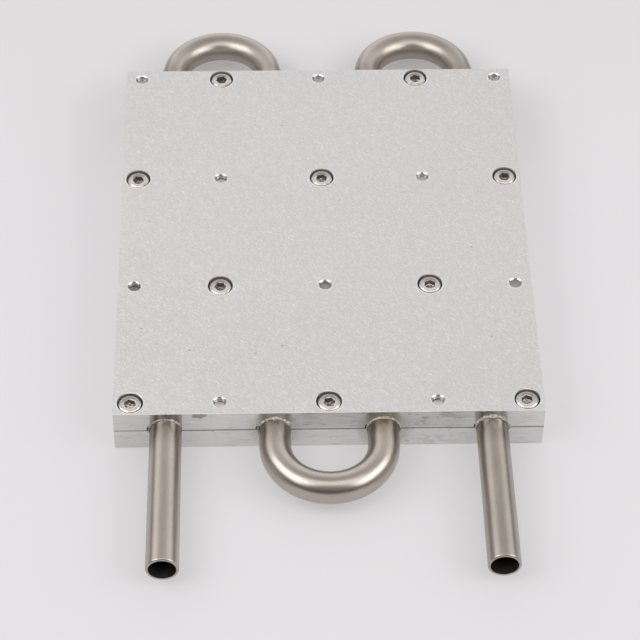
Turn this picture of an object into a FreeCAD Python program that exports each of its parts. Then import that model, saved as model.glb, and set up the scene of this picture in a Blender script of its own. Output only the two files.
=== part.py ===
import FreeCAD, Part
import math
import os

# Water cooling plate: two aluminium plates clamp one serpentine tube in matching half grooves.
# Millimetres, +Z up. The origin is the centre of the lower plate's bottom face, and the two
# open ends of the tube point towards -Y, the front.

V = FreeCAD.Vector

# Tube
TUBE_DIAMETER = 12.0
TUBE_WALL = 1.0
TIP_CHAMFER = 0.15
PASS_COUNT = 4
PASS_PITCH = 40.0
STUB_LENGTH = 64.0
FRONT_BEND_LEAD = 8.0
BACK_BEND_LEAD = 6.0

# Where the plates clamp the tube, they press it slightly oval
TUBE_SQUEEZE = 0.05
SQUEEZE_LEAD = 1.5
GROOVE_FIT = 0.03
GROOVE_EDGE_BREAK = 0.5

# Plates
UPPER_THICKNESS = 9.0
LOWER_THICKNESS = 9.5
OUTER_CHAMFER = 0.3
PARTING_CHAMFER = 0.2

# Grid of fasteners: screws from above and from below take turns
ROW_COUNT = 4
ROW_PITCH = 59.0
FRONT_MARGIN = 5.7
BACK_MARGIN = 5.3
OUTER_COLUMN_OFFSET = 12.75
SIDE_MARGIN = 6.25

# M5 socket head cap screws
THREAD_DIAMETER = 5.0
THREAD_CHAMFER = 0.4
HEAD_DIAMETER = 8.5
HEAD_HEIGHT = 5.0
HEAD_CHAMFER = 0.5
SOCKET_FLATS = 4.0
SOCKET_DEPTH = 2.5
SOCKET_TURN_STEP = 17.0

# How far the ends and the heads of the screws lie below the faces
UPPER_SCREW_LENGTH = 12.0
UPPER_HEAD_SINK = 0.7
FLUSH_HEAD_SINK = 0.15
LOWER_HEAD_SINK = 1.1
END_SINK = 2.4
SHORTENED_END_SINKS = (2.2, 1.3, 1.0)

# Holes
HEAD_GAP = 0.65
SHANK_GAP = 0.25
THREAD_GAP = 0.05
HOLE_CHAMFER = 0.15

# Sizes worked out from those above
TUBE_RADIUS = TUBE_DIAMETER / 2
BORE_RADIUS = TUBE_RADIUS - TUBE_WALL
BEND_RADIUS = PASS_PITCH / 2
PASS_XS = [(index - (PASS_COUNT - 1) / 2) * PASS_PITCH for index in range(PASS_COUNT)]
OUTER_COLUMN_X = PASS_XS[-1] + OUTER_COLUMN_OFFSET
INNER_COLUMN_XS = [x + PASS_PITCH / 2 for x in PASS_XS[:-1]]
COLUMN_XS = [-OUTER_COLUMN_X] + INNER_COLUMN_XS + [OUTER_COLUMN_X]
PLATE_WIDTH = 2 * (OUTER_COLUMN_X + SIDE_MARGIN)
PLATE_DEPTH = (ROW_COUNT - 1) * ROW_PITCH + FRONT_MARGIN + BACK_MARGIN
FRONT_Y = -PLATE_DEPTH / 2
BACK_Y = PLATE_DEPTH / 2
ROUND_FRONT_Y = FRONT_Y - SQUEEZE_LEAD
ROUND_BACK_Y = BACK_Y + SQUEEZE_LEAD
TIP_Y = FRONT_Y - STUB_LENGTH
ROW_YS = [FRONT_Y + FRONT_MARGIN + index * ROW_PITCH for index in range(ROW_COUNT)]
PARTING_Z = LOWER_THICKNESS
TOP_Z = LOWER_THICKNESS + UPPER_THICKNESS
COUNTERBORE_RADIUS = HEAD_DIAMETER / 2 + HEAD_GAP
CLEARANCE_RADIUS = THREAD_DIAMETER / 2 + SHANK_GAP
TAPPED_RADIUS = THREAD_DIAMETER / 2 + THREAD_GAP

UP = V(0, 0, 1)
DOWN = V(0, 0, -1)


class Site:
    """One place of the grid: where its screw enters, how deep its head lies and where it ends."""

    def __init__(self, column, row):
        self.column = column
        self.row = row
        self.x = COLUMN_XS[column]
        self.y = ROW_YS[row]
        self.from_above = (column + row) % 2 == 0
        self.turn = SOCKET_TURN_STEP * (1 + column + len(COLUMN_XS) * row)

    def inward(self):
        return DOWN if self.from_above else UP

    def entry_z(self):
        return TOP_Z if self.from_above else 0.0

    def head_sink(self):
        if not self.from_above:
            return LOWER_HEAD_SINK
        front_middle = self.row == 0 and self.column == len(COLUMN_XS) // 2
        return FLUSH_HEAD_SINK if front_middle else UPPER_HEAD_SINK

    def end_sink(self):
        """Depth of a lower screw's end below the top face."""
        if self.row == 1:
            return SHORTENED_END_SINKS[self.column // 2]
        return END_SINK

    def shank_length(self):
        if self.from_above:
            return UPPER_SCREW_LENGTH
        return TOP_Z - self.end_sink() - self.seat_depth()

    def seat_depth(self):
        return self.head_sink() + HEAD_HEIGHT

    def point(self, depth):
        """The point on the hole's axis at a depth below the face that the screw enters."""
        return V(self.x, self.y, self.entry_z()) + self.inward() * depth


SITES = [Site(column, row) for row in range(ROW_COUNT) for column in range(len(COLUMN_XS))]
UPPER_SITES = [site for site in SITES if site.from_above]
LOWER_SITES = [site for site in SITES if not site.from_above]


def place(shape, point, direction):
    """Stand a shape that was made along +Z at a point, facing a direction."""
    placed = shape.copy()
    placed.Placement = FreeCAD.Placement(point, FreeCAD.Rotation(UP, direction))
    return placed


# The tube

def round_section(x, y, radius):
    return Part.Wire(Part.Circle(V(x, y, PARTING_Z), V(0, 1, 0), radius).toShape())


def oval_section(x, y, radius):
    """The section between the plates: flatter in height and wider by the same amount."""
    centre = V(x, y, PARTING_Z)
    wide = centre + V(radius + TUBE_SQUEEZE, 0, 0)
    high = centre + V(0, 0, radius - TUBE_SQUEEZE)
    return Part.Wire(Part.Ellipse(wide, high, centre).toShape())


def straight_run(section, start_y, end_y):
    return Part.Face(section).extrude(V(0, end_y - start_y, 0))


def clamped_run(x, radius):
    """One pass between the plates, oval inside and round again just outside both ends."""
    front_end = [round_section(x, ROUND_FRONT_Y, radius), oval_section(x, FRONT_Y, radius)]
    back_end = [oval_section(x, BACK_Y, radius), round_section(x, ROUND_BACK_Y, radius)]
    middle = straight_run(oval_section(x, FRONT_Y, radius), FRONT_Y, BACK_Y)
    return [Part.makeLoft(front_end, True, True), middle, Part.makeLoft(back_end, True, True)]


def outer_pass(x, radius, front_end, back_end):
    front_lead = round_run(x, radius, front_end, ROUND_FRONT_Y)
    back_lead = round_run(x, radius, ROUND_BACK_Y, back_end)
    return [front_lead, *clamped_run(x, radius), back_lead]


def bore_pass(x, radius, front_end, back_end):
    return [round_run(x, radius, front_end, back_end)]


def round_run(x, radius, start_y, end_y):
    return straight_run(round_section(x, start_y, radius), start_y, end_y)


def bend(left_x, radius, arc_y, at_front):
    """A half turn from the pass at left_x to the next one, outside the plates."""
    axis = V(left_x + BEND_RADIUS, arc_y, PARTING_Z)
    section = Part.Face(round_section(left_x, arc_y, radius))
    return section.revolve(axis, UP if at_front else DOWN, 180)


def serpentine(radius, make_pass):
    """The whole route as one solid of the given radius, from one tip to the other."""
    front_arc = FRONT_Y - FRONT_BEND_LEAD
    back_arc = BACK_Y + BACK_BEND_LEAD
    pieces = []
    for index, x in enumerate(PASS_XS):
        is_stub = index in (0, PASS_COUNT - 1)
        pieces += make_pass(x, radius, TIP_Y if is_stub else front_arc, back_arc)
    for index, x in enumerate(PASS_XS[:-1]):
        at_front = index % 2 == 1
        pieces.append(bend(x, radius, front_arc if at_front else back_arc, at_front))
    return pieces[0].fuse(pieces[1:])


def coolant_tube():
    tube = serpentine(TUBE_RADIUS, outer_pass).cut(serpentine(BORE_RADIUS, bore_pass))
    rims = [edge for edge in tube.Edges if lies_across(edge, TIP_Y)]
    return tube.makeChamfer(TIP_CHAMFER, rims)


def lies_across(edge, y):
    return abs(edge.BoundBox.YMin - y) < 1e-6 and abs(edge.BoundBox.YMax - y) < 1e-6


# The plates

def plate_block(low_z, thickness):
    """A rectangular plate with broken edges, finest round the parting plane."""
    block = Part.makeBox(PLATE_WIDTH, PLATE_DEPTH, thickness, V(-PLATE_WIDTH / 2, FRONT_Y, low_z))
    outer_edges = [edge for edge in block.Edges if not lies_at(edge, PARTING_Z)]
    block = block.makeChamfer(OUTER_CHAMFER, outer_edges)
    parting_edges = [edge for edge in block.Edges if lies_at(edge, PARTING_Z)]
    return block.makeChamfer(PARTING_CHAMFER, parting_edges)


def lies_at(edge, z):
    return abs(edge.BoundBox.ZMin - z) < 1e-6 and abs(edge.BoundBox.ZMax - z) < 1e-6


def groove_cutters():
    """Each pass's groove, and the small break along both of its edges at the parting plane."""
    radius = TUBE_RADIUS + GROOVE_FIT
    reach = radius + TUBE_SQUEEZE + GROOVE_EDGE_BREAK
    height = radius / 2
    cutters = []
    for x in PASS_XS:
        cutters.append(straight_run(oval_section(x, FRONT_Y, radius), FRONT_Y, BACK_Y))
        corners = [V(reach, 0, 0), V(0, 0, height), V(-reach, 0, 0), V(0, 0, -height)]
        wire = Part.makePolygon(corners + corners[:1])
        wire.translate(V(x, FRONT_Y, PARTING_Z))
        cutters.append(Part.Face(wire).extrude(V(0, PLATE_DEPTH, 0)))
    return cutters


def screw_hole_cutters(site):
    """The counterbore and the clearance hole, in the plate that the screw enters."""
    counterbore = Part.makeCylinder(COUNTERBORE_RADIUS, site.seat_depth())
    clearance = Part.makeCylinder(CLEARANCE_RADIUS, TOP_Z)
    return [
        place(counterbore, site.point(0), site.inward()),
        place(clearance, site.point(0), site.inward()),
    ]


def tapped_hole_cutters(site):
    """The threaded hole right through the other plate, plain at the thread's full diameter."""
    hole = Part.makeCylinder(TAPPED_RADIUS, TOP_Z)
    mouth = Part.makeCone(TAPPED_RADIUS, TAPPED_RADIUS + HOLE_CHAMFER, HOLE_CHAMFER)
    return [
        place(hole, site.point(0), site.inward()),
        place(mouth, site.point(TOP_Z - HOLE_CHAMFER), site.inward()),
    ]


def plate(low_z, thickness, entered, tapped):
    cutters = groove_cutters()
    for site in entered:
        cutters += screw_hole_cutters(site)
    for site in tapped:
        cutters += tapped_hole_cutters(site)
    return plate_block(low_z, thickness).cut(cutters)


def upper_plate():
    return plate(PARTING_Z, UPPER_THICKNESS, UPPER_SITES, LOWER_SITES)


def lower_plate():
    return plate(0.0, LOWER_THICKNESS, LOWER_SITES, UPPER_SITES)


# The screws

def screw_blank(shank_length):
    """Head and shank turned as one, with the head's top at z = 0 and the shank pointing up."""
    shank = THREAD_DIAMETER / 2
    head = HEAD_DIAMETER / 2
    end = HEAD_HEIGHT + shank_length
    outline = [
        V(0, 0, 0),
        V(head - HEAD_CHAMFER, 0, 0),
        V(head, 0, HEAD_CHAMFER),
        V(head, 0, HEAD_HEIGHT),
        V(shank, 0, HEAD_HEIGHT),
        V(shank, 0, end - THREAD_CHAMFER),
        V(shank - THREAD_CHAMFER, 0, end),
        V(0, 0, end),
    ]
    profile = Part.Face(Part.makePolygon(outline + outline[:1]))
    return profile.revolve(V(0, 0, 0), UP, 360)


def socket_cutter(turn):
    """The hexagon socket in the head."""
    corner = SOCKET_FLATS / math.sqrt(3)
    angles = [math.radians(turn + 60 * index) for index in range(6)]
    ring = [V(corner * math.cos(angle), corner * math.sin(angle), 0) for angle in angles]
    return Part.Face(Part.makePolygon(ring + ring[:1])).extrude(V(0, 0, SOCKET_DEPTH))


def cap_screw(site):
    screw = screw_blank(site.shank_length()).cut(socket_cutter(site.turn))
    return place(screw, site.point(site.head_sink()), site.inward())


def screws():
    made = {}
    for site in SITES:
        side = "upper" if site.from_above else "lower"
        made[f"{side}_screw_row_{site.row + 1}_column_{site.column + 1}"] = cap_screw(site)
    return made


def main():
    os.makedirs("parts", exist_ok=True)
    nodes = {
        "upper_plate": upper_plate(),
        "lower_plate": lower_plate(),
        "coolant_tube": coolant_tube(),
    }
    nodes.update(screws())
    for name, shape in nodes.items():
        shape.exportStep(os.path.join("parts", f"{name}.step"))


main()
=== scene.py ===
# %% [markdown]
# # A water cooling plate
# Two flat aluminium plates are bolted together and clamp one bent stainless steel tube. Water runs
# through the tube, and whatever is fixed to the flat faces gives its heat to it. This script dresses
# the measured solids for a photograph: it makes finer plates, tube and screws in the same places,
# gives each its metal, and adds the sealing compound, the floor, the light and the camera.
# Everything is in metres, in the frame of the solids.

import math

import bmesh
import bpy
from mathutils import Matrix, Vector


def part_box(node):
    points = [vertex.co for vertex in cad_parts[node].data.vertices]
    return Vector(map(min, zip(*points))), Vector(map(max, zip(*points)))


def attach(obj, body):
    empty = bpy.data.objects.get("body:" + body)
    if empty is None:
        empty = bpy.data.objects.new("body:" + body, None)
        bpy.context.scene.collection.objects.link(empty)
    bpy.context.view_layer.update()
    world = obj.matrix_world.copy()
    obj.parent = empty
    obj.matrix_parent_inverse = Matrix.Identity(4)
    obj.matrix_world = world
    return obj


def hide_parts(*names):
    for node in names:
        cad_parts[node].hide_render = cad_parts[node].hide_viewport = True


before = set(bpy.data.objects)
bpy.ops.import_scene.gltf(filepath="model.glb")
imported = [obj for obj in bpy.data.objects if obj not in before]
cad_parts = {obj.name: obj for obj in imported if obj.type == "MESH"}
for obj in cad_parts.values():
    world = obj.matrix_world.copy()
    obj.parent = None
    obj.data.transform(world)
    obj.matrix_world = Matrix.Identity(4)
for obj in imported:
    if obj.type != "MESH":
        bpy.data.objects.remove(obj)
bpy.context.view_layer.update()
MM = 0.001
plate_low, plate_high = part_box("upper_plate")
lower_low, lower_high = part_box("lower_plate")
PARTING_Z = lower_high.z
TOP_Z = plate_high.z

# %% [markdown]
# ## Writing node trees as sums
# Materials and Geometry Nodes are both trees of nodes joined by wires. Placing dozens of Math nodes
# by hand hides the idea behind them, so `Wire` wraps one output and turns `+`, `-`, `*` and `/` into
# Math nodes, also when the number stands on the left, as in `1 - mask`. `Graph.node` makes any other
# node. It applies the settings before the inputs, because they decide which sockets a node has.

# %% A wire that can be added and multiplied
class Wire:
    """One output socket. Arithmetic on it adds Math nodes to its tree."""

    def __init__(self, graph, socket):
        self.graph = graph
        self.socket = socket

    def other(self, name):
        """Another output of the node this wire comes from."""
        return Wire(self.graph, self.socket.node.outputs[name])

    def math(self, operation, *terms):
        return self.graph.math(operation, self, *terms)

    def __add__(self, term):
        return self.math("ADD", term)

    def __sub__(self, term):
        return self.math("SUBTRACT", term)

    def __rsub__(self, term):
        return self.graph.math("SUBTRACT", term, self)

    def __mul__(self, term):
        return self.math("MULTIPLY", term)

    def __truediv__(self, term):
        return self.math("DIVIDE", term)

    def __rtruediv__(self, term):
        return self.graph.math("DIVIDE", term, self)

    def __mod__(self, term):
        return self.math("FLOORED_MODULO", term)

    __radd__ = __add__
    __rmul__ = __mul__


class Graph:
    """A node tree with one method for any node."""

    def __init__(self, tree):
        self.tree = tree

    def node(self, kind, inputs=None, settings=None, out=0):
        made = self.tree.nodes.new(kind)
        for name, value in (settings or {}).items():
            setattr(made, name, value)
        for key, term in (inputs or {}).items():
            if isinstance(term, Wire):
                self.tree.links.new(term.socket, made.inputs[key])
            else:
                made.inputs[key].default_value = term
        return Wire(self, made.outputs[out]) if made.outputs else None

    def math(self, operation, *terms):
        return self.node("ShaderNodeMath", dict(enumerate(terms)), {"operation": operation})

    def vector(self, operation, *terms, out=0):
        values = dict(enumerate(terms))
        return self.node("ShaderNodeVectorMath", values, {"operation": operation}, out)

    def ease(self, value, start, end):
        """0 below start, 1 above end, smooth between. It falls where start is above end."""
        values = {0: value, 1: min(start, end), 2: max(start, end)}
        values |= {3: 0.0, 4: 1.0} if start < end else {3: 1.0, 4: 0.0}
        return self.node("ShaderNodeMapRange", values, {"interpolation_type": "SMOOTHSTEP"})

    def mix(self, share, first, second):
        """A colour between two colours. Each is a wire or three numbers."""
        ends = [end if isinstance(end, Wire) else (*end, 1.0) for end in (first, second)]
        values = {0: share, 6: ends[0], 7: ends[1]}
        return self.node("ShaderNodeMix", values, {"data_type": "RGBA"}, 2)


print("node helpers ready")

# %% [markdown]
# ## From a node tree to a plain mesh
# Geometry Nodes make what repeats: the holes, the screws and the beads round the tube. A tree here
# has named inputs for its sizes. The result is read off the evaluated object and kept as a plain
# mesh, because the export drops instances, and the modifier goes away with the helper object.

# %% Make a tree with named inputs, run it, keep the mesh
SOCKET_KINDS = {
    float: "NodeSocketFloat",
    int: "NodeSocketInt",
    bpy.types.Object: "NodeSocketObject",
    bpy.types.Material: "NodeSocketMaterial",
}


def geometry_tree(name, inputs):
    """A tree whose inputs are named; returns its graph and a wire for each input."""
    tree = bpy.data.node_groups.new(name, "GeometryNodeTree")
    for way in ("INPUT", "OUTPUT"):
        tree.interface.new_socket("Geometry", in_out=way, socket_type="NodeSocketGeometry")
    for label, kind in inputs.items():
        tree.interface.new_socket(label, in_out="INPUT", socket_type=SOCKET_KINDS[kind])
    graph = Graph(tree)
    source = tree.nodes.new("NodeGroupInput")
    return graph, {label: Wire(graph, source.outputs[label]) for label in ("Geometry", *inputs)}


def end_tree(graph, shape, material):
    """Every tree ends the same way: real faces, smooth shading, one material. Returns the tree."""
    real = graph.node("GeometryNodeRealizeInstances", {0: shape})
    smooth = graph.node("GeometryNodeSetShadeSmooth", {0: real})
    coated = graph.node("GeometryNodeSetMaterial", {"Geometry": smooth, "Material": material})
    graph.node("NodeGroupOutput", {0: coated})
    return graph.tree


def store(graph, shape, name, value, kind="FLOAT"):
    """Keeps a value on every point of a shape, under a name."""
    settings = {"data_type": kind, "domain": "POINT"}
    values = {"Geometry": shape, "Name": name, "Value": value}
    return graph.node("GeometryNodeStoreNamedAttribute", values, settings)


def stored(graph, name, kind="FLOAT"):
    return graph.node("GeometryNodeInputNamedAttribute", {"Name": name}, {"data_type": kind})


def scaled(graph, vector, factor):
    return graph.node("ShaderNodeVectorMath", {0: vector, "Scale": factor}, {"operation": "SCALE"})


def axis_value(graph, vector, axis):
    """One of a vector's three numbers: X, Y or Z."""
    return graph.node("ShaderNodeSeparateXYZ", {0: vector}, out=axis)


def new_object(name, data):
    made = bpy.data.objects.new(name, data)
    bpy.context.scene.collection.objects.link(made)
    return made


def add_nodes(obj, tree, values):
    """Adds the tree as a modifier and sets its inputs by their identifiers."""
    modifier = obj.modifiers.new(tree.name, "NODES")
    modifier.node_group = tree
    for item in tree.interface.items_tree:
        if item.in_out == "INPUT" and item.name in values:
            modifier[item.identifier] = values[item.name]


def bake_mesh(obj, name, sharp=30):
    """The evaluated shape as a plain mesh on a new object. Edges above sharp degrees stay sharp."""
    bpy.context.view_layer.update()
    shape = obj.evaluated_get(bpy.context.evaluated_depsgraph_get())
    mesh = bpy.data.meshes.new_from_object(shape)
    bpy.data.objects.remove(obj)
    mesh.name = name
    mesh.shade_smooth()
    mesh.set_sharp_from_angle(angle=math.radians(sharp))
    made = new_object(name, mesh)
    print(name, len(mesh.polygons), "faces,", "volume", round(volume(mesh) / MM**3, 1), "mm3")
    return made


def volume(mesh):
    """Positive where the faces point outwards."""
    copy = bmesh.new()
    copy.from_mesh(mesh)
    total = copy.calc_volume(signed=True)
    copy.free()
    return total


def face_outwards(mesh):
    if volume(mesh) < 0:
        mesh.flip_normals()


def new_mesh(name, points, edges=(), faces=()):
    mesh = bpy.data.meshes.new(name)
    mesh.from_pydata(points, edges, faces)
    mesh.update()
    face_outwards(mesh)
    return mesh


print("mesh helpers ready")

# %% [markdown]
# ## Turned shapes
# Screws, and the drills and counterbores that make their holes, are all bodies of revolution, like
# parts from a lathe. One helper spins a profile of (radius, height) points round the upright axis. A
# radius may also be a function of the angle, which is how the hexagon socket keeps its six flats.

# %% Spin a profile
def turned_mesh(name, profile, steps):
    """A closed mesh; profile points go from the top centre outwards and down to the bottom centre."""
    points = []
    rings = []
    for radius, height in profile:
        if radius == 0:
            rings.append([len(points)] * steps)
            points.append((0.0, 0.0, height * MM))
            continue
        ring = []
        for step in range(steps):
            angle = 2 * math.pi * step / steps
            reach = radius(angle) if callable(radius) else radius
            level = height(angle) if callable(height) else height
            ring.append(len(points))
            points.append((reach * math.cos(angle) * MM, reach * math.sin(angle) * MM, level * MM))
        rings.append(ring)
    faces = []
    for upper, lower in zip(rings, rings[1:]):
        for step in range(steps):
            after = (step + 1) % steps
            corners = [upper[step], lower[step], lower[after], upper[after]]
            faces.append(tuple(dict.fromkeys(corners)))
    return new_mesh(name, points, faces=faces)


def pattern_object(name, mesh):
    """A shape that a node tree repeats. It is in no collection, so it never shows itself."""
    return bpy.data.objects.new(name, mesh)


def arc(x, y, radius, start, end, steps):
    """Points round (x, y), from one angle in degrees to another."""
    angles = [math.radians(start + (end - start) * step / steps) for step in range(steps + 1)]
    return [(x + radius * math.cos(angle), y + radius * math.sin(angle)) for angle in angles]


print("lathe ready")

# %% [markdown]
# ## The sizes that everything shares
# The grid of fasteners has four rows and five columns. The outer columns stand a little nearer the
# middle than the pitch would put them, so the tree below moves them by `OUTER_SHIFT`. `SINK` is how
# far a head lies below its face, `RISE` how much higher the flush one stands, and `FLAT` how far a
# tight bend flattens the tube's outer wall.

# %% Sizes in millimetres
PASS_PITCH = 40.0
PASS_XS = [(index - 1.5) * PASS_PITCH for index in range(4)]
TUBE_RADIUS = 6.0
TUBE_WALL = 1.0
FRONT_ARC_Y = -102.0
BACK_ARC_Y = 100.0
TIP_Y = -158.0
FRONT_FLAT = 0.35
BACK_FLAT = 1.3
ROWS = 4
COLUMNS = 5
ROW_PITCH = 59.0
FIRST_ROW_Y = -88.3
OUTER_SHIFT = 7.25
OUTER_X = 2 * PASS_PITCH - OUTER_SHIFT
BORE_RADIUS = 4.8
BORE_DEPTH = 5.7
CLEARANCE_RADIUS = 2.75
DRILL_REACH = 14.0
HEAD_RADIUS = 4.36
THREAD_RADIUS = 2.5
THREAD_PITCH = 0.8
UPPER_SINK = 0.3
LOWER_SINK = 1.1
FLUSH_RISE = 0.18
HALF_WIDTH = plate_high.x / MM
HALF_DEPTH = plate_high.y / MM
AXIS_Z = PARTING_Z / MM
FACE_Z = TOP_Z / MM
print("plate", 2 * HALF_WIDTH, "x", 2 * HALF_DEPTH, "x", FACE_Z, "mm")

# %% [markdown]
# ## Metal in general
# All three metals here share one build: a metallic shader whose colour, roughness and surface height
# vary. Real metal is never one grey, because the tool, the rolls and the hands that held it leave
# marks. `surface` takes each as a wire or a number.

# %% A metal from three varying values
def new_material(name):
    made = bpy.data.materials.new(name)
    made.use_nodes = True
    made.node_tree.nodes.clear()
    return made, Graph(made.node_tree)


def surface(graph, colour, rough, metallic, height, strength=0.3, reach=0.05):
    """The shader and the output; a height in 0 to 1 becomes a bump of that reach in millimetres."""
    bump = {"Strength": strength, "Distance": reach * MM, "Height": height}
    values = {"Base Color": colour, "Roughness": rough, "Metallic": metallic}
    values["Normal"] = graph.node("ShaderNodeBump", bump)
    shader = graph.node("ShaderNodeBsdfPrincipled", values)
    graph.node("ShaderNodeOutputMaterial", {"Surface": shader})


def millimetres(graph):
    """Object coordinates in millimetres, so that pattern sizes can be written as real sizes."""
    place = graph.node("ShaderNodeTexCoord", out="Object")
    return scaled(graph, place, 1 / MM)


def stored_millimetres(graph, name):
    """The same for coordinates that a node tree stored on the points under a name."""
    place = graph.node("ShaderNodeAttribute", settings={"attribute_name": name}, out="Vector")
    return scaled(graph, place, 1 / MM)


def stretched(graph, place, turn, sizes, shift=0.0):
    """Coordinates turned by some degrees and divided by sizes, for marks that run one way."""
    values = {"Vector": place, "Location": (shift, shift, 0), "Rotation": (0, 0, math.radians(turn))}
    return graph.node("ShaderNodeMapping", values | {"Scale": sizes}, {"vector_type": "TEXTURE"})


def noise(graph, place, scale=1.0, detail=2.0, roughness=0.5):
    """Cloudy values round 0.5; scale is how many clouds there are to a unit of the coordinates."""
    values = {"Vector": place, "Scale": scale, "Detail": detail, "Roughness": roughness}
    return graph.node("ShaderNodeTexNoise", values)


def shade(graph, amount, colour):
    """A colour made lighter or darker: 1 leaves it as it is."""
    dark = [0.5 * channel for channel in colour]
    light = [min(1.0, 1.5 * channel) for channel in colour]
    return graph.mix(graph.node("ShaderNodeClamp", {0: amount - 0.5}), dark, light)


print("metal helpers ready")

# %% [markdown]
# ## Milled aluminium
# The broad faces were milled and then rubbed flat, which left fine short hairlines, most of them
# running the same slanting way, with a few long scratches, bright flecks and dark pits. A noise
# pulled long and thin and cut off high gives separate short strokes, and several layers at slightly
# different angles keep them from looking combed. The pits are few, so each is listed as a soft spot.
# The rims of the holes are smoother and carry a painted highlight, and the distance to the nearest
# hole comes from the grid itself. A painted shade makes the face a little darker towards the front.

# %% The flat faces
PITS = ((-69.5, -51.2), (-16.7, -60.6), (-26.8, -64.5), (-51.3, -62.6), (61.7, -57.1))
PITS += ((57.2, -9.7), (42.3, 56.6), (-15.6, 60.3), (-67.8, 5.7))


def hole_distance(graph, place, first):
    """Millimetres to the nearest hole of one kind; first is 0 for the holes of the front corners."""
    x = axis_value(graph, place, "X")
    beside = x.math("ABSOLUTE")
    outer = (beside - OUTER_X).math("ABSOLUTE")
    three = beside.math("MINIMUM", outer)
    two = (beside - PASS_PITCH).math("ABSOLUTE")
    rows = (x.other("Y") - (FIRST_ROW_Y - ROW_PITCH / 2)) / ROW_PITCH
    odd = (rows.math("FLOOR") + first) % 2.0
    across = three * (1.0 - odd) + two * odd
    along = (rows.math("FRACT") - 0.5) * ROW_PITCH
    return (across * across + along * along).math("SQRT")


def strokes(graph, place, turn, length, width, seed, keep):
    """Short straight marks: 1 on a mark, 0 beside it."""
    along = stretched(graph, place, turn, (length, width, 1.0), seed)
    return graph.ease(noise(graph, along, 1.0, 1.0), keep, keep + 0.06)


# Turn in degrees, length and width in millimetres, seed, cut-off and strength of each layer.
LAYERS = ((-48, 2.0, 0.13, 11.0, 0.63, 1.0), (-36, 1.8, 0.12, 37.0, 0.64, 1.0))
LAYERS += ((-60, 1.6, 0.12, 71.0, 0.64, 1.0), (40, 1.6, 0.13, 93.0, 0.67, 0.8))
LAYERS += ((-34, 5.0, 0.16, 51.0, 0.72, 1.4),)
RUBBED = -48


def milled_face():
    material, graph = new_material("milled_face")
    place = millimetres(graph)
    marks = sum(strength * strokes(graph, place, *layer) for *layer, strength in LAYERS)
    grain = noise(graph, stretched(graph, place, RUBBED, (1.2, 0.6, 1.0)), 2.1, 3.0, 0.8)
    flecks = noise(graph, stretched(graph, place, RUBBED, (0.5, 0.3, 1.0), 3.0), 1.0, 0.0)
    flecks = graph.ease(flecks, 0.74, 0.8)
    cloud = noise(graph, place, 0.018, 2.0)
    pits = 0.0
    for x, y in PITS:
        reach = graph.vector("DISTANCE", place, (x, y, FACE_Z), out="Value")
        pits = graph.ease(reach, 0.55, 0.15) + pits
    # Painted highlight: the rims of the holes are made lighter, and also smoother, standing in for
    # the light their broken edges catch.
    rims = graph.ease(hole_distance(graph, place, 0.0), 5.4, 5.15)
    rims = rims + graph.ease(hole_distance(graph, place, 1.0), 3.0, 2.8)
    # Painted shade: the face is made a little darker towards the front.
    near = graph.ease(axis_value(graph, place, "Y"), 10.0, -90.0)
    amount = 0.98 + 0.60 * (grain - 0.5) + 0.05 * (cloud - 0.5) + 0.24 * marks
    amount = amount - 0.6 * pits + 0.16 * rims + 0.4 * flecks - 0.05 * near
    colour = shade(graph, amount, (0.865, 0.825, 0.775))
    rough = 0.50 + 0.20 * (grain - 0.5) - 0.08 * marks - 0.1 * rims
    height = 0.5 * grain + 0.6 * marks - pits
    surface(graph, colour, rough, 1.0, height, 0.5, 0.06)
    return material


MILLED_FACE = milled_face()
print("milled face made")

# %% [markdown]
# ## Sawn and planed edges
# The narrow sides are smoother than the faces, so they mirror the tubes softly. They carry lines and
# grey rubbing marks along the plate, a few darker smears, and a green white haze where compound was
# wiped off round the tubes. Dirt has settled in the joint between the plates, and a small dark wedge
# at the left of each tube, in the gap at the groove's broken edge, is painted shade. All of it is
# paint on the metal, so masks by distance are enough.

# %% The narrow sides
HAZE_SHARES = (0.15, 1.0, 1.2, 0.25)
SMEAR_PLACE = (-47.5, -HALF_DEPTH, 17.4)


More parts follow.
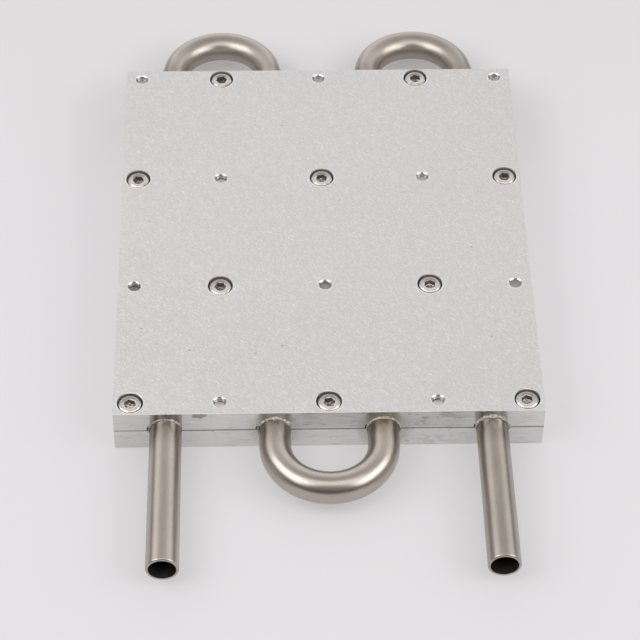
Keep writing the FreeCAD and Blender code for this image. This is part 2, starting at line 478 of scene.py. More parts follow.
def planed_edge():
    material, graph = new_material("planed_edge")
    place = millimetres(graph)
    lines = noise(graph, stretched(graph, place, 0, (14.0, 14.0, 0.35)), 1.0, 3.0, 0.6)
    rubs = noise(graph, stretched(graph, place, 0, (9.0, 9.0, 2.2), 5.0), 1.0, 4.0, 0.65)
    rubs = graph.ease(rubs, 0.52, 0.72)
    dark = noise(graph, stretched(graph, place, 0, (4.0, 4.0, 1.6), 19.0), 1.0, 5.0, 0.75)
    dark = graph.ease(dark, 0.58, 0.74)
    along = axis_value(graph, place, "X")
    above = along.other("Z") - AXIS_Z
    haze = 0.0
    wedges = 0.0
    for x, share in zip(PASS_XS, HAZE_SHARES):
        beside = along - x
        reach = (beside * beside + above * above).math("SQRT")
        haze = share * graph.ease(reach + 3.5 * (dark + rubs), 11.5, 8.0) + haze
        # Painted shade: a small dark wedge at the left of each tube, in the gap at the groove's
        # broken edge.
        off = beside + (TUBE_RADIUS + 0.35)
        up = 0.5 * (above - 0.9)
        wedges = graph.ease((off * off + up * up).math("SQRT"), 0.75, 0.45) + wedges
    haze = (haze * (0.5 + graph.ease(dark + 0.5 * lines, 0.1, 0.6))).math("MINIMUM", 1.0)
    joint = graph.ease(above.math("ABSOLUTE"), 0.42, 0.15)
    joint = joint * (0.55 + 0.45 * graph.ease(along, -70.0, -55.0))
    # The painted shade of the wedges joins the joint's dirt in one dark mask.
    joint = joint.math("MAXIMUM", wedges)
    ragged_along = along + 14.0 * (lines - 0.5)
    dull = graph.ease(ragged_along, -16.0, -8.0) * graph.ease(ragged_along, 56.0, 46.0)
    dull = dull * graph.ease(above, 0.0, 1.5)
    smear = graph.vector("SUBTRACT", place, SMEAR_PLACE)
    smear = graph.vector("LENGTH", graph.vector("MULTIPLY", smear, (0.31, 0.31, 0.7)), out="Value")
    ragged = noise(graph, place, 0.8, 4.0, 0.7)
    smear = graph.ease(smear + 1.6 * (ragged - 0.5), 1.0, 0.7)
    cloud = graph.ease(noise(graph, place, 0.22, 4.0, 0.7), 0.48, 0.6)
    cloud = cloud * graph.ease(along, 20.0, 28.0) * graph.ease(along, 54.0, 46.0)
    amount = 1.08 + 0.36 * (lines - 0.5) - 0.18 * rubs - 0.38 * dark - 0.24 * dull
    amount = amount - 0.2 * cloud - 0.62 * smear - 0.05 * graph.ease(along, -52.0, -66.0)
    colour = shade(graph, amount, (0.80, 0.757, 0.68))
    colour = graph.mix(0.6 * haze, colour, (0.50, 0.485, 0.42))
    colour = graph.mix(0.85 * joint, colour, (0.07, 0.06, 0.045))
    rough = 0.13 + 0.14 * rubs + 0.34 * haze + 0.10 * (lines - 0.5) + 0.4 * joint
    height = 0.6 * lines - 0.4 * dark + 0.3 * haze
    surface(graph, colour, rough, 1.0, height, 0.2)
    return material


PLANED_EDGE = planed_edge()
print("planed edge made")

# %% [markdown]
# ## Bored holes
# Inside the holes the cutter left bright rings, so the colour and the roughness change with the
# height in the plate. Deep in the gap round a screw head, metal mirrors only metal and would come out
# black. Real gaps look brown grey, because they hold grease and dust and lie in shade, so below the
# rim a dark film that is hardly metallic covers the wall: grime and painted shade in one. The
# threaded holes stay clean.

# %% The walls of the holes
def bored_wall():
    material, graph = new_material("bored_wall")
    place = millimetres(graph)
    rings = noise(graph, stretched(graph, place, 0, (30.0, 30.0, 0.16)), 1.0, 2.0)
    amount = 1.0 + 0.3 * (rings - 0.5)
    colour = shade(graph, amount, (0.82, 0.79, 0.76))
    height = axis_value(graph, place, "Z")
    # Grime and painted shade in one: a dark film that is hardly metallic, deep in the gap round each
    # head.
    deep = graph.ease((height - FACE_Z / 2).math("ABSOLUTE"), FACE_Z / 2 - 0.15, FACE_Z / 2 - 0.35)
    upper_side = graph.ease(height, AXIS_Z - 0.5, AXIS_Z + 0.5)
    reach = hole_distance(graph, place, 0.0) * upper_side
    reach = reach + hole_distance(graph, place, 1.0) * (1.0 - upper_side)
    deep = deep * graph.ease(reach, 6.0, 5.5)
    colour = graph.mix(0.85 * deep, colour, (0.19, 0.155, 0.125))
    rough = 0.14 + 0.12 * rings + 0.3 * deep
    surface(graph, colour, rough, 1.0 - 0.8 * deep, rings, 0.25, 0.06)
    return material


BORED_WALL = bored_wall()
print("bored wall made")

# %% [markdown]
# ## Satin stainless tube
# Drawn and pickled tube has a warm grey satin skin. Its grain runs along the tube, so it can't be
# read from straight axes in the bends. The tree that makes the tube stores, on every point, where
# that point lies in the section and how far along the route it is, and the pattern reads that. Near
# the plates the skin is stained and darker, which reads the plain place. The bore is painted nearly
# black, a painted shade for the inside of the tube.

# %% The tube's skin
def satin_tube():
    material, graph = new_material("satin_tube")
    route = stored_millimetres(graph, "section_and_run")
    drawn = noise(graph, graph.vector("MULTIPLY", route, (2.6, 2.6, 0.14)), 1.0, 3.0, 0.6)
    patch = noise(graph, graph.vector("MULTIPLY", route, (0.16, 0.16, 0.07)), 1.0, 4.0, 0.6)
    grain = noise(graph, route, 2.2, 2.0, 0.6)
    scuff = noise(graph, graph.vector("MULTIPLY", route, (0.9, 0.9, 0.5)), 1.0, 3.0)
    scuff = graph.ease(scuff, 0.62, 0.72)
    x = axis_value(graph, millimetres(graph), "X")
    y = x.other("Y")
    from_plate = y.math("ABSOLUTE") - HALF_DEPTH
    worn = graph.ease(x, 45.0, 52.0) * graph.ease(from_plate, 0.0, 10.0)
    amount = 1.0 + 0.12 * (drawn - 0.5) + 0.24 * (patch - 0.5) + 0.14 * (grain - 0.5)
    amount = amount - 0.10 * scuff - 0.1 * worn - 0.13 * graph.ease(from_plate, 14.0, 2.0)
    colour = shade(graph, amount, (0.50, 0.452, 0.404))
    stain = noise(graph, graph.vector("MULTIPLY", route, (0.3, 0.3, 0.16)), 1.0, 3.0)
    stain = graph.ease(stain, 0.32, 0.58) * graph.ease(from_plate, 13.0, 1.0)
    colour = graph.mix(0.75 * stain, colour, (0.32, 0.26, 0.21))
    rough = 0.31 + 0.06 * (patch - 0.5) + 0.04 * (drawn - 0.5) + 0.06 * scuff
    rough = rough + 0.05 * graph.ease(y, HALF_DEPTH, HALF_DEPTH + 6.0)
    height = 0.7 * drawn + 0.3 * grain
    surface(graph, colour, rough, 1.0, height, 0.03, 0.04)
    return material


def dark_bore():
    material, graph = new_material("dark_bore")
    place = millimetres(graph)
    streak = noise(graph, stretched(graph, place, 0, (0.9, 6.0, 0.9)), 1.0, 3.0)
    # Painted shade: the inside of the tube is coloured nearly black.
    colour = graph.mix(streak, (0.012, 0.011, 0.010), (0.05, 0.045, 0.04))
    surface(graph, colour, 0.55 + 0.2 * streak, 0.6, streak)
    return material


SATIN_TUBE = satin_tube()
DARK_BORE = dark_bore()
print("satin tube and its dark bore made")

# %% [markdown]
# ## Bright screws and soft compound
# The screws are brighter and sharper, turned on a lathe, with rings round each head. The rings need
# each screw's own middle, which its pattern stores on its points before it is repeated. The same
# stored place says what lies in the socket or down the side of the head, and there the film of the
# gaps, grime and painted shade in one, covers the steel too. Spots of lighter colour on the socket's
# floor are painted glints. The thread ends are matt, and those of one row are grey and mottled. The
# compound is a pale waxy paste with a green cast.

# %% Screw and compound
def turned_steel():
    material, graph = new_material("turned_steel")
    own = stored_millimetres(graph, "own_place")
    depth = axis_value(graph, own, "Z")
    radius = graph.vector("LENGTH", graph.vector("MULTIPLY", own, (1.0, 1.0, 0.0)), out="Value")
    place = millimetres(graph)
    rings = noise(graph, graph.node("ShaderNodeCombineXYZ", {0: radius * 7.0}), 1.0, 2.0)
    stain = graph.ease(noise(graph, place, 0.9, 3.0), 0.5, 0.75)
    # Grime and painted shade in one: a dark film that is hardly metallic, in the socket and down the
    # side of the head.
    socket = graph.ease(depth, -0.2, -0.7) * graph.ease(depth, -2.55, -2.3)
    socket = socket * graph.ease(radius, 2.7, 2.4)
    side = graph.ease(depth, -0.24, -0.3) * graph.ease(radius, 4.04, 4.12)
    bottom = graph.ease(depth, -2.4, -2.5) * graph.ease(depth, -3.6, -3.5)
    bottom = bottom * graph.ease(radius, 2.3, 2.2)
    # Painted highlight: spots of lighter colour on the socket's floor make glints.
    glint = graph.ease(noise(graph, place, 1.3, 1.0), 0.45, 0.52)
    ends = graph.ease(depth, -9.0, -10.0)
    off_row = (axis_value(graph, place, "Y") - (FIRST_ROW_Y + ROW_PITCH)).math("ABSOLUTE")
    dull = ends * graph.ease(off_row, 8.0, 6.0)
    blotch = graph.ease(noise(graph, place, 1.1, 4.0, 0.7), 0.4, 0.6)
    amount = 1.0 + 0.25 * (rings - 0.5) - 0.22 * stain - dull * (0.36 + 0.3 * blotch)
    amount = amount + bottom * (1.3 * glint - 0.6) + 0.4 * (ends - dull)
    colour = shade(graph, amount, (0.60, 0.57, 0.54))
    # The dark colour of that film, grime and painted shade in one.
    colour = graph.mix(0.9 * socket + 0.85 * side, colour, (0.15, 0.115, 0.09))
    rough = 0.2 + 0.12 * stain + 0.1 * (rings - 0.5) + 0.25 * dull - 0.12 * bottom
    metallic = 1.0 - 0.6 * socket - 0.6 * side - 0.5 * ends
    surface(graph, colour, rough, metallic, rings, 0.15)
    return material


def wiped_compound():
    material, graph = new_material("wiped_compound")
    place = millimetres(graph)
    mottle = noise(graph, place, 1.3, 4.0, 0.6)
    share = graph.ease(mottle, 0.35, 0.65)
    colour = graph.mix(share, (0.24, 0.23, 0.19), (0.66, 0.65, 0.60))
    surface(graph, colour, 0.2 + 0.3 * mottle, 0.0, noise(graph, place, 3.0, 3.0), 0.4, 0.1)
    return material


TURNED_STEEL = turned_steel()
WIPED_COMPOUND = wiped_compound()
print("steel and compound made")

# %% [markdown]
# ## A grid of anything
# Screws, holes and grooves all stand on a grid, and screws from above and from below take turns on
# it. One tree makes the points from their number: the column is the remainder after dividing by the
# number of columns, the row is the whole part. `Turn` 0 or 1 keeps every other place, as on a
# chessboard, and -1 keeps all.

# %% Points on the grid
GRID_INPUTS = {"Columns": int, "Rows": int, "Column Pitch": float, "Row Pitch": float}
GRID_INPUTS |= {"First Row": float, "Level": float, "Outer Shift": float, "Turn": float}
GRID_INPUTS |= {"Pattern": bpy.types.Object, "Material": bpy.types.Material}


def grid_points(graph, wires):
    """The points, which of them are kept, and the column and row of each."""
    columns = wires["Columns"]
    number = graph.node("GeometryNodeInputIndex")
    column = number % columns
    row = (number / columns).math("FLOOR")
    middle = (columns - 1.0) / 2.0
    side = (column - middle) / middle
    whole_side = side.math("TRUNC")
    x = (column - middle) * wires["Column Pitch"] - whole_side * wires["Outer Shift"]
    y = wires["First Row"] + row * wires["Row Pitch"]
    place = graph.node("ShaderNodeCombineXYZ", {0: x, 1: y, 2: wires["Level"]})
    count = columns * wires["Rows"]
    points = graph.node("GeometryNodePoints", {"Count": count, "Position": place})
    parity = (column + row) % 2.0
    same = parity.math("COMPARE", wires["Turn"], 0.1)
    every = wires["Turn"].math("LESS_THAN", 0.0)
    return points, same.math("MAXIMUM", every), column, row


def repeat_pattern(graph, wires, points, kept, turn=(0.0, 0.0, 0.0)):
    """The tree's pattern at each point that is kept."""
    pattern = graph.node("GeometryNodeObjectInfo", {"Object": wires["Pattern"]}, out="Geometry")
    values = {"Points": points, "Selection": kept, "Instance": pattern, "Rotation": turn}
    return graph.node("GeometryNodeInstanceOnPoints", values)


def grid_values(pattern, material, turn=-1.0, level=0.0):
    values = {"Columns": COLUMNS, "Rows": ROWS, "Column Pitch": PASS_PITCH * MM}
    values |= {"Row Pitch": ROW_PITCH * MM, "First Row": FIRST_ROW_Y * MM, "Level": level}
    values |= {"Outer Shift": OUTER_SHIFT * MM, "Turn": turn, "Pattern": pattern}
    return values | {"Material": material}


print("grid ready")

# %% [markdown]
# ## The holes
# A hole could be a dark disc, but its rim is what the eye reads: a bright broken edge, then the gap
# round the head. So the plates are really drilled. Each cutter is turned in the shape of the hole,
# with its broken mouth, and the tree subtracts it at each place of the grid.

# %% Drill a plate on the grid
def drilling_tree():
    graph, wires = geometry_tree("drilled_grid", GRID_INPUTS)
    placed = repeat_pattern(graph, wires, *grid_points(graph, wires)[:2])
    cutters = graph.node("GeometryNodeRealizeInstances", {0: placed})
    settings = {"operation": "DIFFERENCE", "solver": "EXACT"}
    values = {"Mesh 1": wires["Geometry"], "Mesh 2": cutters}
    drilled = graph.node("GeometryNodeMeshBoolean", values, settings)
    return end_tree(graph, drilled, wires["Material"])


DRILLING = drilling_tree()


def hole_cutter(name, profile, up, steps):
    """A cutter as drawn, for a hole entered from above, or else the same shape pointing down."""
    if not up:
        profile = [(radius, -height) for radius, height in reversed(profile)]
    return pattern_object(name, turned_mesh(name, profile, steps))


def counterbore_cutter(name, up):
    """Wide shallow chamfer, room for the head, then the clearance hole of the thread."""
    profile = [(0, 1.0), (7.58, 1.0), (BORE_RADIUS, -0.13), (BORE_RADIUS, -BORE_DEPTH)]
    profile += [(CLEARANCE_RADIUS, -BORE_DEPTH), (CLEARANCE_RADIUS, -DRILL_REACH), (0, -DRILL_REACH)]
    return hole_cutter(name, profile, up, 72)


def tapped_cutter(name, up):
    """Countersunk mouth, two turns of thread that show, then plain down to the screw."""
    profile = [(0, 1.0), (3.58, 1.0), (2.26, -0.32)]
    for turn in range(2):
        down = THREAD_PITCH * turn
        profile += [(2.46, -0.68 - down), (2.26, -1.06 - down)]
    profile += [(2.55, -2.0), (2.55, -DRILL_REACH), (0, -DRILL_REACH)]
    return hole_cutter(name, profile, up, 48)


print("drilling tree ready")

# %% [markdown]
# ## The plates
# Each plate is a block with its edges broken, four half round grooves and twenty holes. The same
# grid tree cuts the grooves as one row of four. The groove cutter's outline is a circle with a small
# point at each side, which is the broken edge of the groove at the parting line.

# %% Blocks with broken edges
def break_edges(shape, edges, width, steps):
    bmesh.ops.bevel(shape, geom=edges, offset=width * MM, segments=steps, affect="EDGES", profile=0.5)


def block(name, low, high):
    """A box whose edges are broken by 0.22 mm, and by 0.2 mm at the parting."""
    shape = bmesh.new()
    bmesh.ops.create_cube(shape, size=1.0)
    for vert in shape.verts:
        vert.co = Vector([low[i] if vert.co[i] < 0 else high[i] for i in range(3)])

    def at_parting(edge):
        return all(abs(vert.co.z - PARTING_Z) < 0.001 * MM for vert in edge.verts)

    for picked, width in ((False, 0.22), (True, 0.2)):
        edges = [edge for edge in shape.edges if at_parting(edge) == picked]
        break_edges(shape, edges, width, 2)
    mesh = bpy.data.meshes.new(name)
    shape.to_mesh(mesh)
    shape.free()
    return new_object(name, mesh)


def groove_cutter():
    radius = TUBE_RADIUS + 0.03
    outline = [(radius + 0.55, 0.0), *arc(0, 0, radius, 2.4, 177.6, 48)]
    outline += [(-radius - 0.55, 0.0), *arc(0, 0, radius, 182.4, 357.6, 48)]
    count = len(outline)
    points = [(x * MM, y * MM, z * MM) for y in (-HALF_DEPTH - 2, HALF_DEPTH + 2) for x, z in outline]
    faces = [tuple(range(count)), tuple(reversed(range(count, 2 * count)))]
    faces += [(i, i + count, (i + 1) % count + count, (i + 1) % count) for i in range(count)]
    return pattern_object("groove_cutter", new_mesh("groove_cutter", points, faces=faces))


GROOVE = groove_cutter()
print("blocks and groove cutter ready")

# %% [markdown]
# The finished plate then gets its three finishes by where each face looks: up or down is milled,
# a wall on the outside is planed, and everything else lies in a hole or a groove. Its shading is
# smooth only over edges below 15 degrees, so that the flat faces stay flat to the light.

# %% Drill both plates and give each face its finish
def finish_plate(piece):
    piece.data.materials.clear()
    for material in (MILLED_FACE, PLANED_EDGE, BORED_WALL):
        piece.data.materials.append(material)
    for face in piece.data.polygons:
        x, y, z = (abs(value) / MM for value in face.center)
        outside = x > HALF_WIDTH - 0.4 or y > HALF_DEPTH - 0.4
        at_face = min(z, abs(FACE_Z - z), abs(z - AXIS_Z)) < 0.05
        if at_face and abs(face.normal.z) > 0.9:
            face.material_index = 0
        else:
            face.material_index = 1 if outside else 2


def plate(name, node, low, high, bores_up, bore_turn):
    """bore_turn says which places of the chessboard are counterbored in this plate."""
    made = block(name + "_block", low, high)
    level = TOP_Z if bores_up else 0.0
    bore = counterbore_cutter(name + "_counterbore", bores_up)
    tap = tapped_cutter(name + "_thread", bores_up)
    grooves = grid_values(GROOVE, MILLED_FACE, -1.0, PARTING_Z)
    grooves |= {"Columns": 4, "Rows": 1, "First Row": 0.0, "Outer Shift": 0.0}
    add_nodes(made, DRILLING, grooves)
    add_nodes(made, DRILLING, grid_values(bore, MILLED_FACE, bore_turn, level))
    add_nodes(made, DRILLING, grid_values(tap, MILLED_FACE, 1.0 - bore_turn, level))
    made = bake_mesh(made, name, 15)
    finish_plate(made)
    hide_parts(node)
    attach(made, "root")


plate("upper_plate_milled", "upper_plate", plate_low, plate_high, True, 0.0)
plate("lower_plate_milled", "lower_plate", lower_low, lower_high, False, 1.0)

# %% [markdown]
# ## The screws
# A socket head cap screw is turned from bar. The knurled head has a bevelled rim that runs into a
# round one, and the two catch the light in two arcs. The mouth of the hexagon socket is countersunk,
# so its edge shows six shallow scallops, and the thread has a bevelled end. The pattern is made once,
# with its head at height 0, and the tree repeats it on the grid, turned differently each time.

# %% Turn one screw
SPIN_STEPS = 72
SOCKET_FLAT = 2.0
MOUTH_RADIUS = 2.5
RIM_RADIUS = 0.35
SOCKET_DEPTH = 2.5


def hexagon(angle):
    return SOCKET_FLAT / math.cos((angle % (math.pi / 3)) - math.pi / 6)


def scallop(angle):
    return -0.55 * (MOUTH_RADIUS - hexagon(angle))


def knurl(angle):
    return HEAD_RADIUS - 0.1 * (round(angle * SPIN_STEPS / (2 * math.pi)) % 2)


def screw_pattern(name, head, shank):
    """A screw whose head and shank have these heights."""
    rim = arc(HEAD_RADIUS - RIM_RADIUS, -0.65, RIM_RADIUS, 57, 0, 5)
    profile = [(0, -3.4), (1.7, -SOCKET_DEPTH), (hexagon, -SOCKET_DEPTH), (hexagon, scallop)]
    profile += [(MOUTH_RADIUS, 0.0), (3.62, 0.0), *rim, (knurl, -0.95), (knurl, 0.4 - head)]
    profile += [(4.15, -head), (THREAD_RADIUS, -head)]
    bottom = -head - shank
    for turn in range(4, 0, -1):
        crest = bottom + 0.4 + THREAD_PITCH * turn
        profile += [(THREAD_RADIUS, crest), (2.15, crest - THREAD_PITCH / 2)]
    profile += [(THREAD_RADIUS, bottom + 0.25), (2.25, bottom), (0.5, bottom), (0, bottom + 0.2)]
    mesh = turned_mesh(name, profile, SPIN_STEPS)
    own = mesh.attributes.new("own_place", "FLOAT_VECTOR", "POINT")
    for index, vert in enumerate(mesh.vertices):
        own.data[index].vector = vert.co
    return pattern_object(name, mesh)


# Three screws from below reach further up than the others: their numbers on the grid, and how much.
LONGER = ((6.0, 0.2), (8.0, 1.1), (10.0, 1.4))


def screw_tree():
    """Repeats a screw. Flip turns it over, and Lift raises the middle one of the front row."""
    inputs = GRID_INPUTS | {"Flip": float, "Turn Step": float, "Drift": float, "Lift": float}
    graph, wires = geometry_tree("screws_on_grid", inputs)
    points, kept, column, row = grid_points(graph, wires)
    number = 1.0 + column + row * wires["Columns"]
    points = store(graph, points, "number", number)
    sense = 2.0 * wires["Flip"] - 1.0
    spin = number * wires["Turn Step"] * sense
    turn = graph.node("ShaderNodeCombineXYZ", {0: wires["Flip"] * math.pi, 2: spin})
    placed = repeat_pattern(graph, wires, points, kept, turn)
    values = {0: (-1.0, -1.0, 0.0), 1: (1.0, 1.0, 0.0), "Seed": 5}
    drift = graph.node("FunctionNodeRandomValue", values, {"data_type": "FLOAT_VECTOR"})
    aside = scaled(graph, drift, wires["Drift"])
    middle = number.math("COMPARE", 3.0, 0.1)
    rise = graph.node("ShaderNodeCombineXYZ", {2: middle * wires["Lift"]})
    values = {"Instances": placed, "Local Space": False}
    values["Translation"] = graph.vector("ADD", aside, rise)
    moved = graph.node("GeometryNodeTranslateInstances", values)
    real = graph.node("GeometryNodeRealizeInstances", {0: moved})
    number = stored(graph, "number")
    own = stored(graph, "own_place", "FLOAT_VECTOR")
    thread = axis_value(graph, own, "Z").math("LESS_THAN", -6 * MM)
    extra = sum(number.math("COMPARE", place, 0.1) * (more * MM) for place, more in LONGER)
    values = {"Geometry": real, "Selection": thread}
    values["Offset"] = graph.node("ShaderNodeCombineXYZ", {2: extra})
    longer = graph.node("GeometryNodeSetPosition", values)
    return end_tree(graph, longer, wires["Material"])


SCREWS = screw_tree()
print("screw tree ready")

# %% [markdown]
# The screws from below are the same shape turned over, a little shorter. Nobody sets twenty screws
# quite in the middle of their holes, so each stands up to 0.12 mm aside, and one in the front row
# stands nearly level with the face.

# %% Place the screws from above and from below
TURN_STEP = math.radians(17)
DRIFT = 0.12 * MM


def screw_set(name, pattern, level, flip, turn, lift=0.0):
    made = new_object(name + "_grid", bpy.data.meshes.new(name + "_grid"))
    values = grid_values(pattern, TURNED_STEEL, turn, level)
    values |= {"Flip": flip, "Turn Step": TURN_STEP, "Drift": DRIFT, "Lift": lift}
    add_nodes(made, SCREWS, values)
    made = bake_mesh(made, name)
    side = "lower" if flip else "upper"
    nodes = [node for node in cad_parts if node.startswith(side + "_screw")]
    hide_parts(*nodes)
    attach(made, "root")
    print(name, "stands for", len(nodes), "screws")


upper_screw = screw_pattern("upper_screw", BORE_DEPTH - UPPER_SINK, 12.0)
lower_screw = screw_pattern("lower_screw", 5.0, 10.0)
screw_set("screws_from_above", upper_screw, TOP_Z - UPPER_SINK * MM, 0.0, 0.0, FLUSH_RISE * MM)
screw_set("screws_from_below", lower_screw, LOWER_SINK * MM, 1.0, 1.0)

# %% [markdown]
# ## The tube
# One tube runs through both plates four times, with two half turns at the back and one at the front.
# Its middle line is eight corner points: a Fillet Curve node rounds each corner to half the pitch, so
# two corners make one half turn. A circle swept along it gives the skin, and Solidify gives the wall.
# The tree also stores where each point lies in the section and along the route, for the skin.

# %% Sweep a circle along the route
def tube_tree():
    inputs = {"Bend Radius": float, "Radius": float, "Bend Steps": int, "Around": int}
    inputs |= {"Material": bpy.types.Material}
    graph, wires = geometry_tree("bent_tube", inputs)
    line = graph.node("GeometryNodeMeshToCurve", {0: wires["Geometry"]})
    values = {"Curve": line, "Count": wires["Bend Steps"], "Radius": wires["Bend Radius"]}
    route = graph.node("GeometryNodeFilletCurve", values, {"mode": "POLY"})
    run = graph.node("GeometryNodeSplineParameter", out="Length")
    route = store(graph, route, "run", run)
    values = {"Resolution": wires["Around"], "Radius": wires["Radius"]}
    circle = graph.node("GeometryNodeCurvePrimitiveCircle", values)
    place = graph.node("GeometryNodeInputPosition")
    circle = store(graph, circle, "section", place, "FLOAT_VECTOR")
    skin = graph.node("GeometryNodeCurveToMesh", {"Curve": route, "Profile Curve": circle})
    skin = graph.node("GeometryNodeMergeByDistance", {"Geometry": skin, "Distance": 0.06 * MM})
    section = stored(graph, "section", "FLOAT_VECTOR")
    run = graph.node("ShaderNodeCombineXYZ", {2: stored(graph, "run")})
    both = graph.vector("ADD", section, run)
    skin = store(graph, skin, "section_and_run", both, "FLOAT_VECTOR")
    return end_tree(graph, skin, wires["Material"])


print("tube tree ready")

# %% [markdown]
# A real tube differs from a swept circle in two places. A tight bend pulls its outer wall inwards by
# about a millimetre, and a tube cutter rolls the outer edge of a cut end inwards and leaves the inner
# edge sharper. Both change only a few points of the finished mesh, so they are done on its points.

# %% Flatten the bends, round the cut ends
FLAT_START = 1.5
FLAT_GROWTH = 8.0


def flatten_bends(mesh):
    """Moves each bend's outer half inwards, growing over `FLAT_GROWTH` outside the plates."""
    moved = 0
    for vert in mesh.vertices:
        x, y = vert.co.x / MM, vert.co.y / MM
        at_back = y > 0
        centre = math.copysign(PASS_PITCH, x) if at_back else 0.0
        flat = BACK_FLAT if at_back else FRONT_FLAT
        beyond = max(y - BACK_ARC_Y, 0.0) if at_back else min(y - FRONT_ARC_Y, 0.0)
        reach = math.hypot(x - centre, beyond)
        outward = reach - PASS_PITCH / 2
        begun = abs(y) - HALF_DEPTH - FLAT_START
        if begun < 0 or outward <= 0 or outward > TUBE_RADIUS + 0.1:
            continue
        grown = min(begun / FLAT_GROWTH, 1.0)
        keep = 1 - grown * outward * flat / TUBE_RADIUS / reach
        vert.co.x = (centre + (x - centre) * keep) * MM
        vert.co.y = (y - beyond + beyond * keep) * MM
        moved += 1
    print("bends flattened:", moved, "points")


def tip_edges(shape, radius):
    """The edges that run round the two cut ends at this distance from the tube's middle line."""

    def reach(vert):
        return math.hypot(abs(vert.co.x) / MM - PASS_XS[-1], (vert.co.z - PARTING_Z) / MM)

    for edge in shape.edges:
        at_tip = all(vert.co.y < (TIP_Y + 0.01) * MM for vert in edge.verts)
        if at_tip and all(abs(reach(vert) - radius) < 0.1 for vert in edge.verts):
            yield edge


def round_tips(mesh):
    shape = bmesh.new()
    shape.from_mesh(mesh)
    for width, steps, radius in ((0.65, 6, TUBE_RADIUS), (0.12, 2, TUBE_RADIUS - TUBE_WALL)):
        edges = list(tip_edges(shape, radius))
        break_edges(shape, edges, width, steps)
        print("tip edges rounded:", len(edges), "by", width, "mm")
    shape.to_mesh(mesh)
    shape.free()
    mesh.shade_smooth()
    mesh.set_sharp_from_angle(angle=math.radians(40))


print("bends and cut ends ready")

# %% Make the tube
def tube():
    half = PASS_PITCH / 2
    ends = [TIP_Y, BACK_ARC_Y + half, FRONT_ARC_Y - half, BACK_ARC_Y + half, TIP_Y]
    points = []
    for index, x in enumerate(PASS_XS):
        points += [(x * MM, ends[index] * MM, PARTING_Z), (x * MM, ends[index + 1] * MM, PARTING_Z)]
    edges = [(index, index + 1) for index in range(len(points) - 1)]
    line = new_object("tube_line", new_mesh("tube_line", points, edges))
    bend = (half - 0.02) * MM
    values = {"Bend Radius": bend, "Radius": TUBE_RADIUS * MM, "Bend Steps": 28, "Around": 80}
    add_nodes(line, tube_tree(), values | {"Material": SATIN_TUBE})
    skin = bake_mesh(line, "tube_skin")
    face_outwards(skin.data)
    flatten_bends(skin.data)
    wall = skin.modifiers.new("wall", "SOLIDIFY")
    wall.thickness = TUBE_WALL * MM
    wall.offset = -1.0
    wall.use_even_offset = False
    skin.data.materials.append(DARK_BORE)
    wall.material_offset = 1
    made = bake_mesh(skin, "bent_tube", 40)
    round_tips(made.data)
    return made


bent = tube()
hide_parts("coolant_tube")
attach(bent, "root")

# %% [markdown]
# ## The compound
# Where the tube leaves the plates, the paste that fills the grooves has squeezed out in a bead that
# is thick in places and nearly gone in others. Eight circles lie round the exits, a noise changes
# how thick each one is along its length, and a second noise makes the surface lumpy. More paste
# stands above the two middle passes and the outlet, and less below the inlet.

# %% Beads round the tube's exits
def bead_tree():
    inputs = {"Radius": float, "Thickness": float, "Material": bpy.types.Material}
    graph, wires = geometry_tree("bead", inputs)
    values = {"Resolution": 72, "Radius": wires["Radius"]}
    ring = graph.node("GeometryNodeCurvePrimitiveCircle", values)
    values = {"Geometry": ring, "Rotation": (math.pi / 2, 0.0, 0.0)}
    ring = graph.node("GeometryNodeTransform", values)
    values = {"Points": wires["Geometry"], "Instance": ring}
    placed = graph.node("GeometryNodeInstanceOnPoints", values)
    rings = graph.node("GeometryNodeRealizeInstances", {0: placed})
    place = graph.node("GeometryNodeInputPosition")
    across = axis_value(graph, place, "X")
    height = across.other("Z")
    swell = graph.node("ShaderNodeTexNoise", {"Vector": place, "Scale": 190.0, "Detail": 2.0})
    top = graph.ease(height, PARTING_Z - 3 * MM, PARTING_Z + 6 * MM)
    beside = across / MM
    middle = graph.ease(beside.math("ABSOLUTE"), 45.0, 35.0)
    outlet = graph.ease(beside, 45.0, 50.0)
    thin_below = 0.6 * graph.ease(beside, -45.0, -50.0) * (1.0 - top)
    size = 0.4 + 1.8 * graph.ease(swell, 0.42, 0.72) + (middle + outlet) * top
    size = wires["Thickness"] * size * (1.0 - thin_below)
    rings = graph.node("GeometryNodeSetCurveRadius", {"Curve": rings, "Radius": size})
    section = graph.node("GeometryNodeCurvePrimitiveCircle", {"Resolution": 14, "Radius": 1.0})
    scale = graph.node("GeometryNodeInputRadius")
    values = {"Curve": rings, "Profile Curve": section, "Scale": scale}
    bead = graph.node("GeometryNodeCurveToMesh", values)
    lump = graph.node("ShaderNodeTexNoise", {"Vector": place, "Scale": 900.0, "Detail": 2.0})
    push = scaled(graph, graph.node("GeometryNodeInputNormal"), (lump - 0.5) * (0.35 * MM))
    bead = graph.node("GeometryNodeSetPosition", {"Geometry": bead, "Offset": push})
    return end_tree(graph, bead, wires["Material"])


def beads():
    exit_ys = (-HALF_DEPTH - 0.1, HALF_DEPTH + 0.1)
    points = [(x * MM, y * MM, PARTING_Z) for y in exit_ys for x in PASS_XS]
    made = new_object("exits", new_mesh("exits", points))
    values = {"Radius": (TUBE_RADIUS + 0.1) * MM, "Thickness": 0.36 * MM, "Material": WIPED_COMPOUND}
    add_nodes(made, bead_tree(), values)
    made = bake_mesh(made, "compound_beads", 60)
    face_outwards(made.data)
    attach(made, "root")


beads()

# %% [markdown]
# ## The floor
# The part lies on a pale sheet that is almost as light as the background. A plain white floor under
# strong lamps would come out uneven, so half of what the camera sees is an even glow of the sheet's
# own colour, and the other half takes the light and the part's soft shadow. The glow is weaker just
# behind the plates, where the shadow is deeper.

# %% The floor
FLOOR_REACH = 6.0


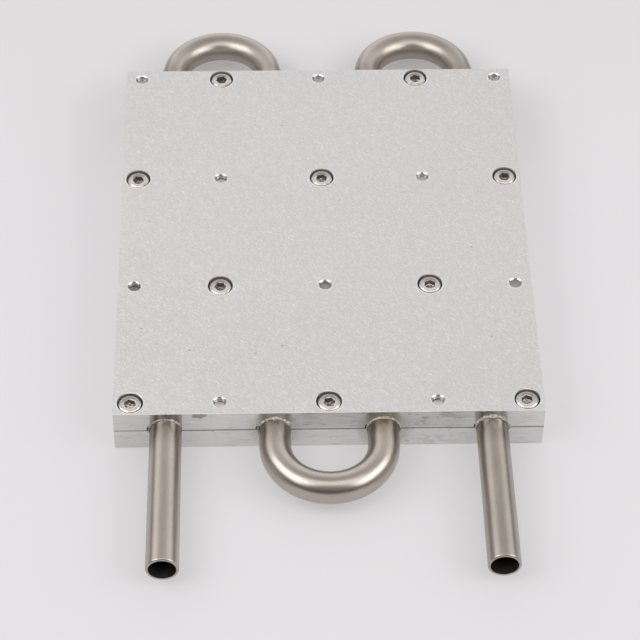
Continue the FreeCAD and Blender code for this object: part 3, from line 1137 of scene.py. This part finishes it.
def floor():
    signs = ((-1, -1), (1, -1), (1, 1), (-1, 1))
    corners = [(x * FLOOR_REACH, y * FLOOR_REACH, 0.0) for x, y in signs]
    made = new_object("floor", new_mesh("floor", corners, faces=[(0, 1, 2, 3)]))
    material, graph = new_material("pale_sheet")
    place = graph.node("ShaderNodeTexCoord", out="Object")
    cloud = noise(graph, place, 5.0, 3.0)
    depth = axis_value(graph, place, "Y")
    share = graph.ease(depth, -0.3, 0.6)
    far = graph.mix(share, (0.690, 0.681, 0.692), (0.79, 0.778, 0.79))
    colour = graph.mix(0.04 * cloud, far, (0.5, 0.5, 0.5))
    values = {"Base Color": colour, "Roughness": 0.8, "Specular IOR Level": 0.2}
    sheet = graph.node("ShaderNodeBsdfPrincipled", values)
    pale = graph.node("ShaderNodeEmission", {"Color": (0.757, 0.742, 0.757, 1.0), "Strength": 1.0})
    ray = graph.node("ShaderNodeLightPath", out="Is Camera Ray")
    seen = ray + ray.other("Is Glossy Ray") + ray.other("Is Transmission Ray")
    shadow = graph.ease(depth, 0.02, 0.11) * graph.ease(depth, 0.2, 0.14)
    share = (0.5 - 0.35 * shadow) * seen.math("MINIMUM", 1.0)
    both = graph.node("ShaderNodeMixShader", {0: share, 1: sheet, 2: pale})
    graph.node("ShaderNodeOutputMaterial", {"Surface": both})
    made.data.materials.append(material)


floor()
print("floor laid")

# %% [markdown]
# ## What the metal mirrors
# Metal shows its surroundings more than itself: here a pale wall behind the part and a darker room
# behind the camera. A few masks by direction are enough for both, and each can be changed alone.

# %% The world
def studio_world():
    world = bpy.data.worlds.new("studio")
    world.use_nodes = True
    world.node_tree.nodes.clear()
    graph = Graph(world.node_tree)
    way = graph.node("ShaderNodeTexCoord", out="Generated")
    behind = axis_value(graph, way, "Y")
    height = behind.other("Z")
    wall = graph.ease(height, 0.95, 0.55) * graph.ease(behind, -0.1, 0.5)
    dark_room = graph.ease(behind, -0.15, -0.6) * graph.ease(height, 0.85, 0.6)
    level = 0.44 + 0.68 * wall - 0.24 * dark_room
    sides = graph.ease(behind, 0.95, 0.75)
    low = graph.ease(height.math("ABSOLUTE"), 0.46, 0.15)
    level = level * (1.0 - 0.85 * low * sides)
    colour = graph.node("ShaderNodeCombineColor", {0: level, 1: level * 0.99, 2: level * 0.985})
    light = graph.node("ShaderNodeBackground", {"Color": colour, "Strength": 1.0})
    graph.node("ShaderNodeOutputWorld", {"Surface": light})
    bpy.context.scene.world = world


studio_world()
print("world made")

# %% [markdown]
# ## Lamps
# Two large soft boxes stand at the left and the right and give each tube its two bright bands. Their
# size sets how wide a band is, and their place where it lies. A weaker one above lights the front.

# %% The soft boxes
def soft_box(name, place, aim, width, height, radiance):
    """A lamp whose radiance is given, so a larger box is brighter in all, not brighter to look at."""
    lamp = bpy.data.lights.new(name, "AREA")
    lamp.shape = "RECTANGLE"
    lamp.size = width
    lamp.size_y = height
    lamp.energy = radiance * math.pi * width * height
    made = new_object(name, lamp)
    made.location = place
    made.rotation_euler = (Vector(aim) - Vector(place)).to_track_quat("-Z", "Y").to_euler()


soft_box("left_box", (-0.62, -0.26, 0.65), (0.0, -0.05, 0.0), 0.92, 0.54, 2.25)
soft_box("right_box", (0.72, -0.32, 0.56), (0.0, -0.05, 0.0), 0.92, 0.54, 2.4)
soft_box("top_box", (0.0, -0.265, 0.64), (0.0, -0.17, 0.0), 0.80, 0.36, 1.0)
print("lamps made")

# %% [markdown]
# ## Camera
# The camera looks down at the part at about 45 degrees with a long lens. Its place, turn and lens
# were fitted to the twenty holes, the corners of the plates and the ends of the tube.

# %% The camera
def camera():
    lens = bpy.data.cameras.new("camera")
    lens.sensor_width = 36.0
    lens.lens = 142.785
    made = new_object("camera", lens)
    made.location = (-0.02365, -0.69962, 0.7178)
    made.rotation_euler = [math.radians(angle) for angle in (43.0, -0.536, -1.293)]
    bpy.context.scene.camera = made


camera()
bpy.context.scene.view_settings.view_transform = "Standard"
print("camera set")
